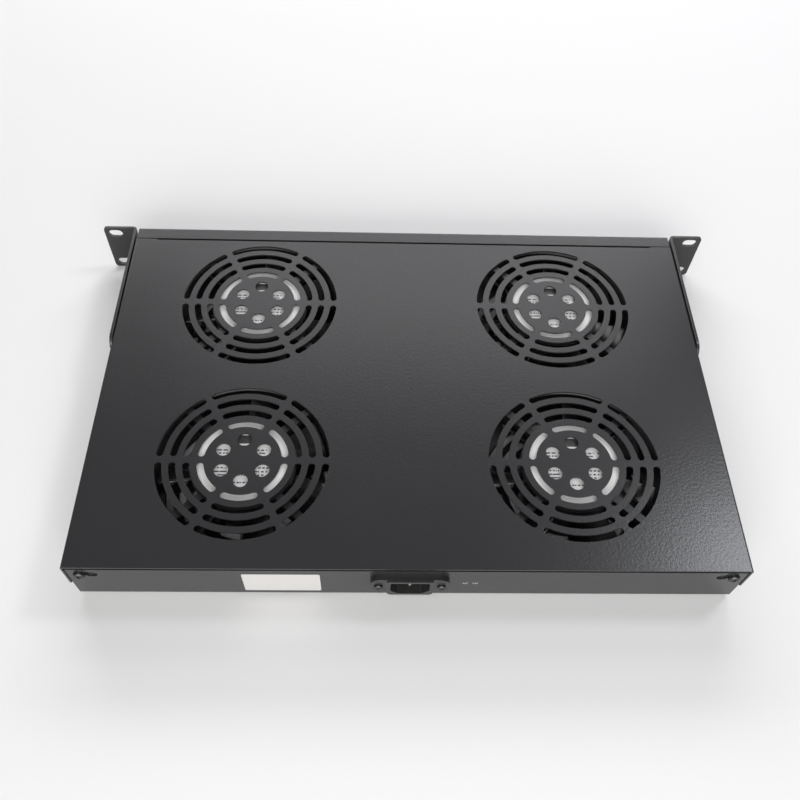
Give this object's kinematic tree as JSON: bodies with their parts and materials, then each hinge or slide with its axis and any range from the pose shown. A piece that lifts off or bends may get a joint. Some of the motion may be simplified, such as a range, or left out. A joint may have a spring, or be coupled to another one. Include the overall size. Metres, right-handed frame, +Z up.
{
  "type": "rack fan tray",
  "caption": "Rack-mount fan tray: shallow black sheet-steel case with axial fans under punched ring grilles, bolted ear brackets, rear mains inlet and front rocker switch.",
  "frame": {"origin": "centre of the four rack slots, in the rear bearing face of the ears", "axes": "+X along the rack's width, to the right seen from the front; +Y into the rack, from the front panel towards the mains inlet; +Z up, towards the cover's grilles"},
  "size_m": [0.4826, 0.2984, 0.0444],
  "materials": {
    "powder_coat": "black powder coat on sheet steel, fine orange peel, satin",
    "fan_plastic": "black glass-filled plastic, satin with moulding sheen",
    "fan_label": "white foil, bare",
    "steel": "turned steel",
    "zinc_steel": "zinc-plated pressed steel",
    "blackened_steel": "steel with a dull black plating",
    "copper": "enamelled copper windings on a laminated core",
    "tinned_brass": "nickel-plated brass",
    "inlet_plastic": "black moulded thermoplastic",
    "nylon": "natural nylon",
    "sleeve": "red vinyl sleeve",
    "brown_wire": "brown cable insulation",
    "blue_wire": "blue cable insulation",
    "earth_wire": "green and yellow cable insulation",
    "black_wire": "black cable insulation",
    "label_white": "white polyester label, bare"
  },
  "bodies": {
    "tray": {"back_nuts": "zinc_steel", "back_screws": "blackened_steel", "base_tray": "powder_coat", "block_fixing_screws": "zinc_steel", "bracket_nuts": "zinc_steel", "bracket_screws": "blackened_steel", "cable_clips": "nylon", "cover_back_tabs": "powder_coat", "ear_bracket_left": "powder_coat", "ear_bracket_right": "powder_coat", "earth_lead": "earth_wire", "earth_nut": "zinc_steel", "earth_ring": "tinned_brass", "earth_stud": "zinc_steel", "fan_bearings_back_left": "steel", "fan_bearings_back_right": "steel", "fan_bearings_front_left": "steel", "fan_bearings_front_right": "steel", "fan_frame_back_left": "fan_plastic", "fan_frame_back_right": "fan_plastic", "fan_frame_front_left": "fan_plastic", "fan_frame_front_right": "fan_plastic", "fan_label_back_left": "fan_label", "fan_label_back_right": "fan_label", "fan_label_front_left": "fan_label", "fan_label_front_right": "fan_label", "fan_lead_back_left": "black_wire", "fan_lead_back_right": "black_wire", "fan_lead_front_left": "black_wire", "fan_lead_front_right": "black_wire", "fan_nuts": "zinc_steel", "fan_screws": "zinc_steel", "fan_stator_back_left": "copper", "fan_stator_back_right": "copper", "fan_stator_front_left": "copper", "fan_stator_front_right": "copper", "inlet_housing": "inlet_plastic", "inlet_nuts": "zinc_steel", "inlet_pins": "tinned_brass", "inlet_screws": "blackened_steel", "live_lead": "brown_wire", "neutral_lead": "blue_wire", "push_on_sleeves": "sleeve", "rating_label": "label_white", "switch_housing": "inlet_plastic", "switch_tabs": "tinned_brass", "switched_live_lead": "brown_wire", "terminal_block": "nylon", "terminal_screws": "zinc_steel", "top_cover": "powder_coat"},
    "impeller_front_left": {"fan_impeller_front_left": "fan_plastic", "fan_shaft_front_left": "steel"},
    "impeller_front_right": {"fan_impeller_front_right": "fan_plastic", "fan_shaft_front_right": "steel"},
    "impeller_back_left": {"fan_impeller_back_left": "fan_plastic", "fan_shaft_back_left": "steel"},
    "impeller_back_right": {"fan_impeller_back_right": "fan_plastic", "fan_shaft_back_right": "steel"},
    "rocker": {"switch_rocker": "inlet_plastic"}
  },
  "joints": [
    {"name": "spin_front_left", "type": "hinge", "parent": "tray", "child": "impeller_front_left", "pos_m": [-0.1107, 0.0738, 0], "axis": [0, 0, 1], "continuous": true},
    {"name": "spin_front_right", "type": "hinge", "parent": "tray", "child": "impeller_front_right", "pos_m": [0.1107, 0.0738, 0], "axis": [0, 0, 1], "continuous": true},
    {"name": "spin_back_left", "type": "hinge", "parent": "tray", "child": "impeller_back_left", "pos_m": [-0.1107, 0.2103, 0], "axis": [0, 0, 1], "continuous": true},
    {"name": "spin_back_right", "type": "hinge", "parent": "tray", "child": "impeller_back_right", "pos_m": [0.1107, 0.2103, 0], "axis": [0, 0, 1], "continuous": true},
    {"name": "rocker_tilt", "type": "hinge", "parent": "tray", "child": "rocker", "pos_m": [0.192, -0.0005, 0], "axis": [0, 0, 1], "range_deg": [0, 20]}
  ]
}
